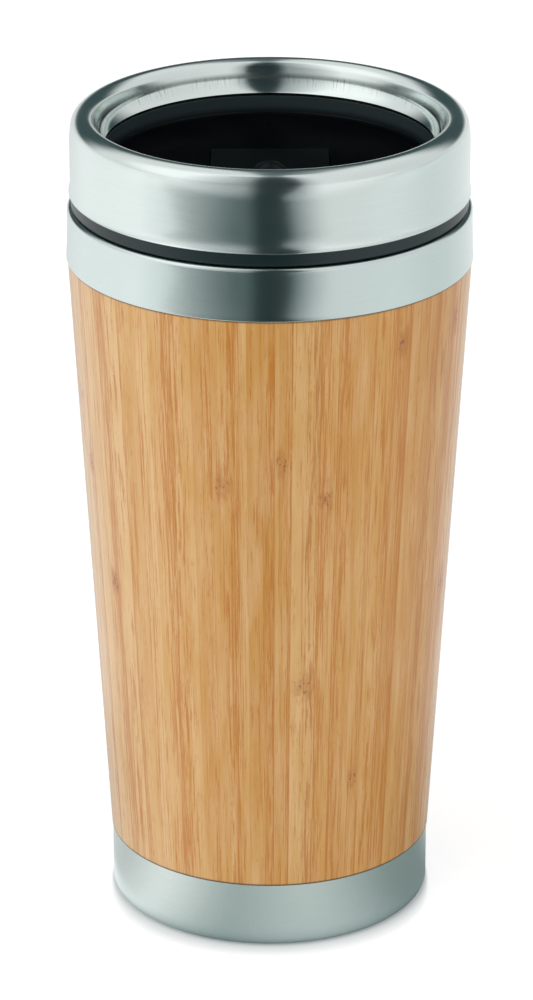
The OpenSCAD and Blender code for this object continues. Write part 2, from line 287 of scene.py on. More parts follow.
# %% Liner
LINER_T, LINER_INSET, LINER_CORNER, MOUTH_H = 0.4, 5.3, 6.0, 17.0
LINER_FLOOR_Z = level("inner_liner", 0) + LINER_T
lean = math.atan(slope)
corner_z = LINER_FLOOR_Z + LINER_CORNER * (1 - math.sin(lean))
corner_r = sleeve_r(corner_z) - LINER_INSET - LINER_CORNER * math.cos(lean)
lip_z = MOUTH_Z - SHEET_T
liner_path = [(0, LINER_FLOOR_Z)]
liner_path += arc(corner_r, LINER_FLOOR_Z + LINER_CORNER, LINER_CORNER, -90, -math.degrees(lean))
liner_path += [(MOUTH_R, MOUTH_Z - MOUTH_H)]
liner_path += arc(MOUTH_R + LIP_BEND, lip_z - LIP_BEND, LIP_BEND, 180, 90)
liner_path += [(SHOULDER_R - COLLAR_ROUND, lip_z)]
liner = stands_for(turned("liner_skin", sheet(liner_path, -LINER_T)), "inner_liner", "mug")

# %% [markdown]
# ## The lid's steel ring
# This ring is what the hand and the lip meet. The sheet rises from a small flare, leans in slowly, rolls over
# a full rim, drops down the throat to a crease, and then turns in like the side of a bowl, to end on the
# black dish. A plain wall with a round rim would be simpler. The slow lean before the roll is kept because it
# makes the reflections fade instead of breaking off at a line.

# %% Ring wall
RING_R, RING_FLARE, FLARE_H = 41.4, 0.3, 4.0
BELLY, BELLY_H, BELLY_START, BELLY_STEPS = 0.06, 7.8, 0.2, 24
ring_path = cut_edge(RING_R + RING_FLARE, RING_Z)
for i in range(BELLY_STEPS):
    up = BELLY_START + BELLY_H * i / BELLY_STEPS
    hollow = BELLY * (1 - up / BELLY_H) ** 2
    flared = (RING_FLARE + BELLY) * max(0, 1 - up / FLARE_H) ** 3
    ring_path.append((RING_R - hollow + flared, RING_Z + up))
print("ring wall:", len(ring_path), "points, up to", round(ring_path[-1][1], 1), "mm")

# %% Ring rim
RIM_OUT, RIM_IN, THROAT_R, INNER_LEAN = 3.0, 2.1, 36.15, 8.0
LEAN_R, LEAN_END, FULLER = 22.0, 9.0, 0.08
lean_cos, lean_sin = math.cos(math.radians(LEAN_END)), math.sin(math.radians(LEAN_END))
roll_r = (RIM_OUT - LEAN_R * (1 - lean_cos)) / lean_cos + FULLER
roll_z = TOP_Z - roll_r
ring_path += arc(RING_R - LEAN_R, roll_z - (LEAN_R - roll_r) * lean_sin, LEAN_R, 0, LEAN_END, 8)
ring_path += arc(RING_R - LEAN_R + (LEAN_R - roll_r) * lean_cos, roll_z, roll_r, LEAN_END, 90, 16)[1:]
ring_path += arc(THROAT_R + RIM_IN, TOP_Z - RIM_IN, RIM_IN, 90, 180 - INNER_LEAN, 14)
print("rim: a roll of", round(roll_r, 2), "mm after a lean of", LEAN_R, "mm")

# %% Ring throat
CREASE_R, CREASE_Z, DISH_R, LEDGE_Z, HEM = 35.75, TOP_Z - 3.5, 34.2, TOP_Z - 7.2, 0.6


def bowl_arc(top, foot, lean_deg, steps=12):
    """Arc of a wall that leans in by an angle at its top and turns in further down to its foot."""
    chord = Vector(foot) - Vector(top)
    slant = math.degrees(math.atan2(-chord.x, -chord.y))
    radius = chord.length / 2 / math.sin(math.radians(slant - lean_deg))
    t = math.radians(lean_deg)
    centre = top[0] - radius * math.cos(t), top[1] + radius * math.sin(t)
    return arc(*centre, radius, -lean_deg, lean_deg - 2 * slant, steps)


ring_path += bowl_arc((CREASE_R, CREASE_Z), (DISH_R, LEDGE_Z + HEM), INNER_LEAN) + [(DISH_R, LEDGE_Z)]
lid_ring = stands_for(turned("lid_ring_skin", sheet(ring_path, SHEET_T)), "lid_ring", "lid")

# %% [markdown]
# ## The moulded lid
# One black moulding makes the plug, the flange and the dish. Its round form is turned first. The shoulders
# beside the slider are then added, and the slider's channel, the drink hole, the stem's slot and the vent are
# cut with exact booleans, as a mould maker would add and take away steel. A small bevel breaks every edge.

# %% Adding and cutting


def combine(piece, tool, operation):
    """Adds a tool to a piece or cuts it away, and keeps only the result."""
    step = piece.modifiers.new("step", "BOOLEAN")
    step.operation, step.solver, step.object = operation, "EXACT", tool
    graph = bpy.context.evaluated_depsgraph_get()
    result = bpy.data.meshes.new_from_object(piece.evaluated_get(graph))
    piece.modifiers.clear()
    piece.data = result
    bpy.data.objects.remove(tool)
    print(piece.name, "after a", operation.lower(), "has", len(result.polygons), "faces")


def block(low, high):
    """A plain box between two corners, in millimetres, used as a tool."""
    bm = bmesh.new()
    bmesh.ops.create_cube(bm, size=1)
    for v in bm.verts:
        v.co = [(a + (b - a) * (c + 0.5)) * MM for a, b, c in zip(low, high, v.co)]
    return finish_mesh(bm, "tool")


def plate(outline, low, high, ease=0):
    """An outline in plan, in millimetres, raised between two levels, with its upper edge eased."""
    bm = bmesh.new()
    under = bm.faces.new([bm.verts.new((x * MM, y * MM, low * MM)) for x, y in outline])
    raised = bmesh.ops.extrude_face_region(bm, geom=[under])["geom"]
    lift = Vector((0, 0, (high - low) * MM))
    bmesh.ops.translate(bm, verts=[v for v in raised if isinstance(v, bmesh.types.BMVert)], vec=lift)
    if ease:
        rim = [e for e in raised if isinstance(e, bmesh.types.BMEdge)]
        round_off = {"offset": ease * MM, "segments": 3, "profile": 0.5}
        bmesh.ops.bevel(bm, geom=rim, affect="EDGES", clamp_overlap=True, **round_off)
    return finish_mesh(bm, "tool")


print("for the lid:", [helper.__name__ for helper in (combine, block, plate)])

# %% Lid, turned
DISH_DEPTH, FLOOR_T, PLUG_H, PLUG_GAP, SKIRT_T = 11.4, 2.0, 12.4, 0.9, 2.2
GROOVE_DEPTH, GROOVE_DROP, GROOVE_H = 1.2, 3.2, 5.0
LID_STEPS = 200
FLOOR_Z, PLUG_Z, GROOVE_TOP_Z = TOP_Z - DISH_DEPTH, MOUTH_Z - PLUG_H, MOUTH_Z - GROOVE_DROP
PLUG_R = MOUTH_R - PLUG_GAP
SKIRT_R, GROOVE_R = PLUG_R - SKIRT_T, PLUG_R - GROOVE_DEPTH
FLANGE_R, BACKING_R, LID_WALL_R = RING_R - 0.1, THROAT_R + 0.9, THROAT_R + 2.1
lid_corners = [
    (0, FLOOR_Z - FLOOR_T, 0),
    (SKIRT_R, FLOOR_Z - FLOOR_T, 0.6),
    (SKIRT_R, PLUG_Z, 0.4),
    (PLUG_R, PLUG_Z, 0.5),
    (PLUG_R, GROOVE_TOP_Z - GROOVE_H, 0),
    (GROOVE_R, GROOVE_TOP_Z - GROOVE_H, 0),
    (GROOVE_R, GROOVE_TOP_Z, 0),
    (PLUG_R, GROOVE_TOP_Z, 0),
    (PLUG_R, MOUTH_Z, 0.3),
    (FLANGE_R, MOUTH_Z, 0.8),
    (FLANGE_R, RING_Z, 0.15),
    (LID_WALL_R, RING_Z, 0),
    (LID_WALL_R, CREASE_Z, 0.2),
    (BACKING_R, CREASE_Z, 0.2),
    (BACKING_R, LEDGE_Z, 0),
    (DISH_R, LEDGE_Z, 0.15),
    (DISH_R, FLOOR_Z, 0.8),
    (0, FLOOR_Z, 0),
]
lid_body = turned("lid_body_skin", eased(lid_corners), LID_STEPS)
print("lid blank:", len(lid_body.data.polygons), "faces")

# %% [markdown]
# The drink gate slides in a channel between two raised shoulders. They could be drawn as two islands. Here
# they are one plate with a curved back edge, and the channel is cut through it, so that both sides match and
# follow the gate's width.

# %% Sizes of the drink gate
SLIDER_W, SLIDER_L, SLIDER_T, RUN_GAP, END_GAP = 24.5, 38.0, 1.8, 0.2, 0.9
STEM_W, STEM_L, STEM_MARGIN = 5.0, 6.0, 0.4
joint_named = {joint["name"]: joint for joint in frame["joints"]}
TRAVEL = joint_named["slider_open"]["range_m"][1] / MM
slider_end_r = DISH_R - END_GAP
back_y = SLIDER_L - slider_end_r
stem_back = back_y - STEM_MARGIN - RUN_GAP - TRAVEL
stem_front = stem_back - STEM_L
print("drink gate:", SLIDER_W, "by", SLIDER_L, "mm, slides back by", round(TRAVEL, 1), "mm")

# %% Shoulders and channel
SHOULDER_H, SHOULDER_ARC, SHOULDER_REACH, SHOULDER_EASE = 2.0, 28.4, 13.4, 0.5
INTO_WALL, INTO_FLOOR, SPARE, CUT_HALF = 0.4, 0.5, 2.0, 40.0
shoulder_y = SHOULDER_REACH - SHOULDER_ARC
bound_r = DISH_R + INTO_WALL


def crossing(r, y, other_r, other_y):
    """Angle in degrees on one circle, about its centre at y, where another circle crosses it on the right."""
    gap = other_y - y
    along = (r * r - other_r * other_r + gap * gap) / (2 * gap)
    return math.degrees(math.asin(along / r))


arc_end = crossing(SHOULDER_ARC, shoulder_y, bound_r, 0)
bound_end = crossing(bound_r, 0, SHOULDER_ARC, shoulder_y)
shoulder_plan = arc(0, shoulder_y, SHOULDER_ARC, arc_end, 180 - arc_end, 60)
shoulder_plan += arc(0, 0, bound_r, 180 - bound_end, 360 + bound_end, 60)[1:-1]
half_channel = SLIDER_W / 2 + RUN_GAP
shoulder_top = FLOOR_Z + SHOULDER_H
shoulders = plate(shoulder_plan, FLOOR_Z - INTO_FLOOR, shoulder_top, SHOULDER_EASE)
channel_low = (-half_channel, -CUT_HALF, FLOOR_Z - SPARE)
channel_high = (half_channel, CUT_HALF, shoulder_top + SPARE)
combine(shoulders, block(channel_low, channel_high), "DIFFERENCE")
combine(lid_body, shoulders, "UNION")

# %% [markdown]
# Three openings go through the dish's floor. The drink hole lies at the front under the gate, the slot lets
# the gate's stem travel, and a small vent at the back lets air in while the mug pours. Each is cut with a
# tool that is taller than the floor is thick, so that no thin skin stays behind.

# %% Drink hole, slot and vent
SIP_W, SIP_L, SIP_MARGIN = 15.0, 8.0, 4.3
VENT_R, VENT_MARGIN = 1.0, 7.0
cut_low, cut_high = FLOOR_Z - FLOOR_T - SPARE, shoulder_top + SPARE
sip_x, sip_y = (SIP_W - SIP_L) / 2, -(DISH_R - SIP_MARGIN - SIP_L / 2)
sip_plan = arc(sip_x, sip_y, SIP_L / 2, 90, -90, 24) + arc(-sip_x, sip_y, SIP_L / 2, -90, -270, 24)
combine(lid_body, plate(sip_plan, cut_low, cut_high), "DIFFERENCE")
slot_half = STEM_W / 2 + RUN_GAP
slot_low = (-slot_half, stem_front - RUN_GAP, cut_low)
slot_high = (slot_half, stem_back + TRAVEL + RUN_GAP, cut_high)
combine(lid_body, block(slot_low, slot_high), "DIFFERENCE")
vent_plan = arc(0, DISH_R - VENT_MARGIN, VENT_R, 0, 360, 32)[:-1]
combine(lid_body, plate(vent_plan, cut_low, cut_high), "DIFFERENCE")
stands_for(lid_body, "lid_body", "lid")

# %% [markdown]
# No moulding has a truly sharp edge, and a sharp edge would catch no light. Eased corners in the outline
# would do for the round edges but not for the ones that the cuts left, so a Bevel modifier finds them by
# their angle. A Weighted Normal modifier then keeps the flats beside them from looking swollen.

# %% Broken edges
EDGE_DEG, FLAT_WEIGHT = 50, 80


def break_edges(piece, width):
    """Rounds the sharp edges of a moulding so that they catch the light, and keeps its flats shaded flat."""
    edge = piece.modifiers.new("broken edges", "BEVEL")
    edge.width, edge.segments, edge.limit_method = width * MM, 3, "ANGLE"
    edge.angle_limit, edge.use_clamp_overlap = math.radians(EDGE_DEG), True
    weigh = piece.modifiers.new("even faces", "WEIGHTED_NORMAL")
    weigh.keep_sharp, weigh.weight = True, FLAT_WEIGHT
    print(piece.name, "edges broken by", width, "mm")


break_edges(lid_body, 0.25)

# %% [markdown]
# ## The drink slider
# The gate that covers the drink hole is a plate with one round end, which follows the dish, and a nub for the
# thumb. Under it, a stem goes through the floor to the clip. The plate, nub, stem and head are joined into
# one moulding, because that is what they are.

# %% Slider plate
GATE_CORNER, GATE_EASE = 1.2, 0.3
slider_z = FLOOR_Z + RUN_GAP
slider_top = slider_z + SLIDER_T
half = SLIDER_W / 2
end_deg = math.degrees(math.asin(half / slider_end_r))
gate_plan = arc(0, 0, slider_end_r, -90 - end_deg, -90 + end_deg, 40)
gate_plan += arc(half - GATE_CORNER, back_y - GATE_CORNER, GATE_CORNER, 0, 90, 8)
gate_plan += arc(-half + GATE_CORNER, back_y - GATE_CORNER, GATE_CORNER, 90, 180, 8)
slider = plate(gate_plan, slider_z, slider_top, GATE_EASE)
slider.name = "drink_slider_skin"
print("slider plate:", len(gate_plan), "points round its edge")

# %% Nub, stem and head
NUB_D, NUB_H, NUB_SET, NUB_STEPS = 8.0, 2.6, 16.6, 64
CLIP_T, HEAD_H, HEAD_GRIP, HEAD_GAP, INTO_HEAD = 1.6, 0.9, 0.8, 0.1, 0.2
INTO_PLATE = SLIDER_T / 2
ball_r = ((NUB_D / 2) ** 2 + NUB_H ** 2) / (2 * NUB_H)
cap_deg = math.degrees(math.asin(NUB_D / 2 / ball_r))
nub_path = [(0, slider_top - INTO_PLATE), (NUB_D / 2, slider_top - INTO_PLATE)]
nub_path += arc(0, slider_top + NUB_H - ball_r, ball_r, 90 - cap_deg, 90, 16)
nub = turned("tool", nub_path, NUB_STEPS)
for v in nub.data.vertices:
    v.co.y += (back_y - NUB_SET) * MM
combine(slider, nub, "UNION")
head_z = FLOOR_Z - FLOOR_T - RUN_GAP - CLIP_T - HEAD_GAP
stem_low = (-STEM_W / 2, stem_front, head_z - INTO_HEAD)
combine(slider, block(stem_low, (STEM_W / 2, stem_back, slider_z + INTO_PLATE)), "UNION")
head_low = (-STEM_W / 2, stem_front - HEAD_GRIP, head_z - HEAD_H)
combine(slider, block(head_low, (STEM_W / 2, stem_back + HEAD_GRIP, head_z)), "UNION")
stands_for(slider, "drink_slider", "slider")
break_edges(slider, 0.3)

# %% [markdown]
# ## The seal
# A silicone ring sits in the plug's groove. Two thin lips turn up against the mouth, and the real ones bend
# as the lid goes in. It is turned as one outline, with its tips eased as moulded silicone is.

# %% Seal
SEAL_GAP, SEAL_EASE, LIPS = 0.1, 0.1, 2
LIP_RISE, LIP_TOP, TIP_EASE = 0.6, 1.1, 0.12
seal_low, seal_high = level("lid_seal", 0), level("lid_seal", 1)
pitch = (seal_high - seal_low) / LIPS
tip_r, back_r = MOUTH_R - SEAL_GAP, GROOVE_R + SEAL_GAP
seal_corners = [(back_r, seal_low, SEAL_EASE), (PLUG_R, seal_low, 0)]
for i in range(LIPS):
    root = seal_low + i * pitch
    seal_corners += [(tip_r, root + LIP_RISE, TIP_EASE), (tip_r, root + LIP_TOP, TIP_EASE)]
    seal_corners += [(PLUG_R, root + LIP_TOP, 0), (PLUG_R, root + pitch, 0)]
seal_corners[-1] = (PLUG_R, seal_high, SEAL_EASE)
seal_corners.append((back_r, seal_high, SEAL_EASE))
lid_seal = stands_for(turned("lid_seal_skin", eased(seal_corners)), "lid_seal", "lid")

# %% [markdown]
# ## Writing shader maths
# A finish is a sum of small ideas: a strip, a fibre, a scratch. Wiring Math nodes by hand hides them, so one
# class wraps a socket and lets us write the idea as an expression. Each operator adds the Math node that it
# stands for.

# %% A value on the surface


class Value:
    """A number, colour or vector that varies over a surface: one output socket, with arithmetic."""

    def __init__(self, wiring, socket):
        self.wiring, self.socket = wiring, socket

    def maths(self, operation, *inputs):
        return self.wiring.node("ShaderNodeMath", {"operation": operation}, dict(enumerate(inputs)))

    def also(self, output):
        """Another output of the same node."""
        return Value(self.wiring, self.socket.node.outputs[output])

    def __add__(self, other):
        return self.maths("ADD", self, other)

    def __radd__(self, other):
        return self.maths("ADD", other, self)

    def __sub__(self, other):
        return self.maths("SUBTRACT", self, other)

    def __rsub__(self, other):
        return self.maths("SUBTRACT", other, self)

    def __mul__(self, other):
        return self.maths("MULTIPLY", self, other)

    def __rmul__(self, other):
        return self.maths("MULTIPLY", other, self)

    def __truediv__(self, other):
        return self.maths("DIVIDE", self, other)

    def __rtruediv__(self, other):
        return self.maths("DIVIDE", other, self)

    def __abs__(self):
        return self.maths("ABSOLUTE", self)

    def root(self):
        return self.maths("SQRT", self)

    def floor(self):
        return self.maths("FLOOR", self)

    def fraction(self):
        return self.maths("FRACT", self)

    def at_most(self, other):
        return self.maths("MINIMUM", self, other)

    def at_least(self, other):
        return self.maths("MAXIMUM", self, other)

    def ramp(self, low, high, shape="SMOOTHSTEP"):
        """From 0 to 1 as the value goes from low to high, in a smooth step or in a straight line."""
        sockets = {"Value": self, "From Min": low, "From Max": high}
        return self.wiring.node("ShaderNodeMapRange", {"interpolation_type": shape}, sockets, "Result")


print("a value knows:", [name for name in vars(Value) if not name.startswith("_")])

# %% [markdown]
# The nodes themselves come from one method, `node`. It takes a node's type, its settings, and what goes into
# its sockets. The rest are short names for what this lesson uses most: where a point is, noise that can be
# stretched along any direction, and dice that fall the same way on every run.

# %% Wiring nodes


class Wiring:
    """A node tree that is built up in expressions."""

    def __init__(self, tree):
        self.tree = tree

    def node(self, kind, settings, inputs, output=0):
        """Adds any node: its settings first, then the values or links of its sockets."""
        made = self.tree.nodes.new(kind)
        for key, value in settings.items():
            if key == "stops":
                while len(made.color_ramp.elements) < len(value):
                    made.color_ramp.elements.new(0.5)
                for stop, (place, colour) in zip(made.color_ramp.elements, value):
                    stop.position, stop.color = place, (*colour, 1)
            else:
                setattr(made, key, value)
        for key, value in inputs.items():
            self.connect(made.inputs[key], value)
        return Value(self, made.outputs[output])

    def connect(self, socket, value):
        if isinstance(value, Value):
            self.tree.links.new(value.socket, socket)
        else:
            socket.default_value = value

    def place(self, space="Object"):
        """The surface point in the object's own metres, as x, y and z, or another kind of coordinate."""
        point = self.node("ShaderNodeTexCoord", {}, {}, space)
        x = self.node("ShaderNodeSeparateXYZ", {}, {"Vector": point}, "X")
        return x, x.also("Y"), x.also("Z")

    def around(self, x, y):
        """Angle round an upright axis in radians: 0 is at the front, and the seam is at the back."""
        return x.maths("ARCTAN2", x, -1 * y)

    def from_axis(self, x, y):
        """Distance from the mug's axis, in metres."""
        return (x * x + y * y).root()

    def vector(self, x, y, z):
        return self.node("ShaderNodeCombineXYZ", {}, {"X": x, "Y": y, "Z": z})

    def noise(self, vector, scale, detail=2.0, roughness=0.5):
        sockets = {"Vector": vector, "Scale": scale, "Detail": detail, "Roughness": roughness}
        return self.node("ShaderNodeTexNoise", {}, sockets)

    def grain(self, x, y, z, detail=2.0, roughness=0.5):
        """Noise at three coordinates that may each be stretched."""
        return self.noise(self.vector(x, y, z), 1.0, detail, roughness)

    def dice(self, number):
        """A fixed random number from 0 to 1 for each whole number."""
        return self.node("ShaderNodeTexWhiteNoise", {"noise_dimensions": "1D"}, {"W": number}, "Value")

    def mix(self, factor, first, second):
        """Blends two colours; each may be a plain triple or another colour."""
        sockets = {0: factor}
        for index, colour in ((6, first), (7, second)):
            sockets[index] = colour if isinstance(colour, Value) else (*colour, 1)
        return self.node("ShaderNodeMix", {"data_type": "RGBA"}, sockets, 2)

    def bump(self, height, distance_mm, strength):
        sockets = {"Height": height, "Distance": distance_mm * MM, "Strength": strength}
        return self.node("ShaderNodeBump", {}, sockets, "Normal")


print("wiring:", [name for name in vars(Wiring) if not name.startswith("_")])

# %% A finish


class Finish(Wiring):
    """A material that is built up in expressions and ends in one Principled shader."""

    def __init__(self, name, **constants):
        self.material = bpy.data.materials.new(name)
        self.material.use_nodes = True
        super().__init__(self.material.node_tree)
        self.shader = self.tree.nodes["Principled BSDF"]
        self.feed(**constants)

    def feed(self, **inputs):
        """Feeds the shader's sockets by name, with _ for a space."""
        for socket, value in inputs.items():
            self.connect(self.shader.inputs[socket.replace("_", " ")], value)

    def dress(self, *pieces):
        """Puts the finish on some pieces, in place of what they had."""
        for piece in pieces:
            piece.data.materials.clear()
            piece.data.materials.append(self.material)
        print(self.material.name, "on", [p.name for p in pieces], "with", len(self.tree.nodes), "nodes")


print("a finish adds:", [name for name in vars(Finish) if not name.startswith("_")])

# %% [markdown]
# ## Satin steel
# The outside steel is brushed round the axis and then softened to a satin, so it mirrors the room without
# showing it. An anisotropic shader is the usual way, but plain noise, stretched far round the axis and
# squeezed along it, keeps the marks themselves. They change the roughness, and a trace of them goes into the
# colour and the bump.

# %% Satin steel
BRUSH_LONG, BRUSH_FINE = 5, 9000
satin = Finish("satin_steel", Metallic=1.0)
x, y, z = satin.place()
turn = satin.around(x, y)
brush = satin.grain(turn * BRUSH_LONG, z * BRUSH_FINE, 0.0, 3.0, 0.6)
cloud = satin.noise(satin.vector(x, y, z), 60.0)
tone = brush.ramp(0.3, 0.7)
satin.feed(
    Base_Color=satin.mix(tone, (0.605, 0.685, 0.668), (0.64, 0.718, 0.702)),
    Roughness=0.135 + 0.04 * tone + 0.03 * cloud,
    Normal=satin.bump(brush, 0.004, 0.12),
)
satin.dress(base_cup, collar)

# %% [markdown]
# The ring gets the same satin, a little brighter. Its inner wall was never brushed as carefully as the
# outside: short scratches hang from the crease along the drawing direction, and a thin line of painted
# shade darkens the crease itself. The scratches are fine noise in the angle, cut to a few dark lines, and
# faded out below the crease.

# %% Ring steel
ring_steel = Finish("ring_steel", Metallic=1.0)
x, y, z = ring_steel.place()
turn = ring_steel.around(x, y)
reach = ring_steel.from_axis(x, y)
brush = ring_steel.grain(turn * BRUSH_LONG, z * BRUSH_FINE, reach * BRUSH_FINE, 3.0, 0.6)
cloud = ring_steel.noise(ring_steel.vector(x, y, z), 60.0)
tone = brush.ramp(0.3, 0.7)
inside = (reach / MM).ramp(THROAT_R + 0.45, THROAT_R + 0.05)
below = CREASE_Z - z / MM
# Painted shade: a thin dark line along the crease, where the throat folds in.
crease_shade = below.ramp(-1.2, 0.0) * below.ramp(0.5, 0.0)
near_crease = below.ramp(-0.7, -0.1) * below.ramp(2.6, 0.4)
lines = ring_steel.grain(turn * 115, z * 110, 0.0, 3.0, 0.75).ramp(0.53, 0.66)
patches = ring_steel.grain(turn * 4, 0.0, 4.0, 1.0).ramp(0.30, 0.55)
# The real scratches and the painted shade of the crease darken the colour together.
scratches_and_crease_shade = inside * (0.70 * crease_shade + 0.70 * lines * near_crease * patches)
clean = ring_steel.mix(tone, (0.665, 0.735, 0.715), (0.70, 0.77, 0.75))
ring_steel.feed(
    Base_Color=ring_steel.mix(0.75 * scratches_and_crease_shade, clean, (0.07, 0.08, 0.078)),
    Roughness=0.125 - 0.045 * inside + 0.04 * tone + 0.03 * cloud + 0.15 * scratches_and_crease_shade,
    Normal=ring_steel.bump(brush - 0.5 * scratches_and_crease_shade, 0.004, 0.12),
)
ring_steel.dress(lid_ring)

# %% [markdown]
# ## Drawn steel
# The liner and the hidden shell keep the marks of the drawing die: soft lines up the wall, and rings on the
# floor where the blank was spun. Both are noise, and the height decides which of them shows. The steel is a
# little greyer and rougher than the outside.

# %% Drawn steel
drawn = Finish("drawn_steel", Metallic=1.0)
x, y, z = drawn.place()
turn = drawn.around(x, y)
up = drawn.grain(turn * 120, z * 30, 0.0, 3.0, 0.6)
spun = drawn.grain(turn * 2, 0.0, drawn.from_axis(x, y) * 4000, 2.0, 0.6)
on_floor = (z / MM).ramp(LINER_FLOOR_Z + 4.2, LINER_FLOOR_Z + 1.2)
marks = up + on_floor * (spun - up)
drawn.feed(
    Base_Color=drawn.mix(marks.ramp(0.3, 0.7), (0.60, 0.62, 0.62), (0.70, 0.72, 0.72)),
    Roughness=0.28 + 0.14 * marks,
    Normal=drawn.bump(marks, 0.006, 0.3),
)
drawn.dress(liner, frame["nodes"]["outer_shell"])

# %% [markdown]
# ## Bamboo
# Bamboo has no growth rings. Each strip is straight, with its own tone, and its fibres are fine reddish
# dashes that crowd to the side that was the outer skin of the cane. A picture could show that, but a formula
# never repeats and never runs out of pixels. So the angle round the mug is cut into strips of uneven width,
# and every strip rolls its own dice. The first strip's number only chooses which run of the dice faces the
# front. The colour also drifts, from paler on the mug's left side to tanner on its right: partly the cane's
# own tone, and partly painted light from the left.

# %% Bamboo strips
STRIPS, FIRST_STRIP, UNEVEN = 58, 77, 1.6
bamboo = Finish("bamboo", Coat_Weight=0.8, Coat_Roughness=0.24, Specular_IOR_Level=0.20)
x, y, z = bamboo.place()
turn = bamboo.around(x, y)
lane = turn * (STRIPS / math.tau) + UNEVEN * bamboo.grain(turn * 6, 0.0, 2.0, 1.0)
strip = lane.floor() + FIRST_STRIP
across = lane.fraction()
tone, crowd, knot_dice, flip = (bamboo.dice(strip + 100.5 * k) for k in range(4))
sideways = x / bamboo.from_axis(x, y)
# Painted light, partly: paler towards the mug's left, where the light comes from, mixed with the cane's own
# tone.
tone_and_side_light = sideways * (1 - 0.6 * sideways * sideways)
middle_r = (SLEEVE_LOW_R + SLEEVE_HIGH_R) / 2
print("bamboo: strips about", round(math.tau * middle_r / STRIPS, 1), "mm wide")

# %% [markdown]
# Here and there a strip crosses a joint of the cane, which leaves a small brown knot in the middle of the
# strip, with dark pits at its heart. Each strip has one such place in every length of cane, and its dice say
# where. The fibres swirl a little near it.

# %% Bamboo knots
KNOT_EVERY = 300.0
high = z / MM
from_knot = (((high + KNOT_EVERY * knot_dice) / KNOT_EVERY).fraction() - 0.5) * KNOT_EVERY
ragged = bamboo.grain(lane * 3, z * 260, strip * 3.1) - 0.5
middle = abs(across - 0.45 - 0.2 * ragged).ramp(0.5, 0.2)
knot = middle * abs(from_knot + 12 * ragged).ramp(5.0, 0.4) * (0.35 + 0.65 * crowd)
heart = middle * abs(from_knot).ramp(2.2, 1.0)
pits = bamboo.grain(lane * 7, z * 900, strip * 2.3, 1.0).ramp(0.55, 0.66)
swirl = abs(from_knot).ramp(16.0, 0.0)
print("bamboo: one knot in", KNOT_EVERY, "mm of strip")

# %% [markdown]
# The fibres are layers of one noise, stretched along the strip: thick cords, short dashes, fine threads and
# tiny flecks. What lies beyond a threshold becomes a mark. Most layers get more of it towards the skin side.

# %% Bamboo fibres
bent = lane + 0.16 * swirl * ragged
skin_side = (flip.ramp(0.49, 0.51) * 2 - 1) * (across - 0.5)


def fibres(per_strip, per_metre, seed, detail, roughness):
    """Noise with so many marks across a strip and along a metre of it."""
    return bamboo.grain(bent * per_strip, z * per_metre, strip * seed, detail, roughness)


dashes = fibres(12, 66, 7.3, 4.0, 0.65)
flecks = fibres(14, 330, 4.1, 3.0, 0.7)
dash = (dashes + 0.14 * skin_side + 0.14 * (crowd - 0.5)).ramp(0.51, 0.63)
fleck = (flecks + 0.3 * (dashes - 0.5) + 0.10 * skin_side).ramp(0.54, 0.70)
cord = (fibres(9, 15, 1.9, 3.0, 0.6) + 0.10 * skin_side).ramp(0.56, 0.68)
thread = (fibres(30, 80, 3.7, 3.0, 0.65) + 0.10 * skin_side).ramp(0.48, 0.70)
streaks = fibres(3.2, 20, 5.9, 3.0, 0.5)
ages = bamboo.grain(lane * 1.3, z * 40, 6.0, 3.0, 0.6)
joint = abs(across - 0.5).ramp(0.47, 0.5)
print("bamboo: fibres, knots and joints take", len(bamboo.tree.nodes), "nodes so far")

# %% [markdown]
# The ground colour goes from pale to tan with the strip's own dice and the drift, which is partly painted
# light, then gets pale streaks and patches between gold and rose. The marks are laid over it one by one. A
# thin line of painted shade darkens the sleeve at the base seam and under the collar, and a clear varnish
# covers all.

# %% Bamboo colour
PALE, HONEY, TAN = (0.575, 0.375, 0.165), (0.495, 0.268, 0.074), (0.415, 0.178, 0.024)
GOLD, ROSE = (0.480, 0.240, 0.040), (0.580, 0.355, 0.160)
FIBRE, BROWN = (0.390, 0.122, 0.003), (0.355, 0.116, 0.008)
KNOT_RED, PIT, SEAM_SHADE = (0.345, 0.108, 0.012), (0.150, 0.040, 0.003), (0.05, 0.026, 0.012)
tones = {"stops": [(0.0, PALE), (0.5, HONEY), (1.0, TAN)]}
wood = bamboo.node("ShaderNodeValToRGB", tones, {"Fac": tone + 0.42 * tone_and_side_light})
wood = bamboo.mix((streaks - 0.10 * tone_and_side_light).ramp(0.35, 0.7) * 0.55, wood, PALE)
wood = bamboo.mix(0.42, wood, bamboo.mix((ages - 0.12 * tone_and_side_light).ramp(0.35, 0.65), GOLD, ROSE))
line_colour = bamboo.mix(flip.ramp(0.84, 0.86), FIBRE, BROWN)
# Painted shade: a thin dark band on the wood at the base seam and under the collar's overhang.
base_seam_shade = (high - SLEEVE_Z).ramp(0.60, 0.15)
collar_seam_shade = (COLLAR_Z - high).ramp(0.60, 0.10)
for mark, colour in (
    (0.28 * thread, line_colour),
    (0.50 * cord, FIBRE),
    (0.66 * dash, line_colour),
    (0.48 * fleck, line_colour),
    (0.70 * knot, KNOT_RED),
    (0.60 * heart * pits, PIT),
    (0.30 * joint, KNOT_RED),
    (0.92 * base_seam_shade + 0.75 * collar_seam_shade, SEAM_SHADE),
):
    wood = bamboo.mix(mark, wood, colour)
relief = 0.6 * dash + 0.3 * thread + 0.4 * cord + joint
bamboo.feed(
    Base_Color=wood,
    Roughness=0.40 + 0.08 * dash + 0.06 * knot,
    Normal=bamboo.bump(1 - relief, 0.02, 0.5),
)
bamboo.dress(sleeve)

# %% [markdown]
# ## Black plastic
# The lid and the slider come from polished moulds that were given a light satin. The grain is far finer than
# a pixel from here, but it breaks up the highlight. One gloss for the whole lid would be simpler. Here the
# gloss is a coat over a black that reflects nothing by itself, so that it can be strong on the flange and the
# dish's wall and faint on the dish's floor, which looks dull in the photograph.

# %% Moulded lid


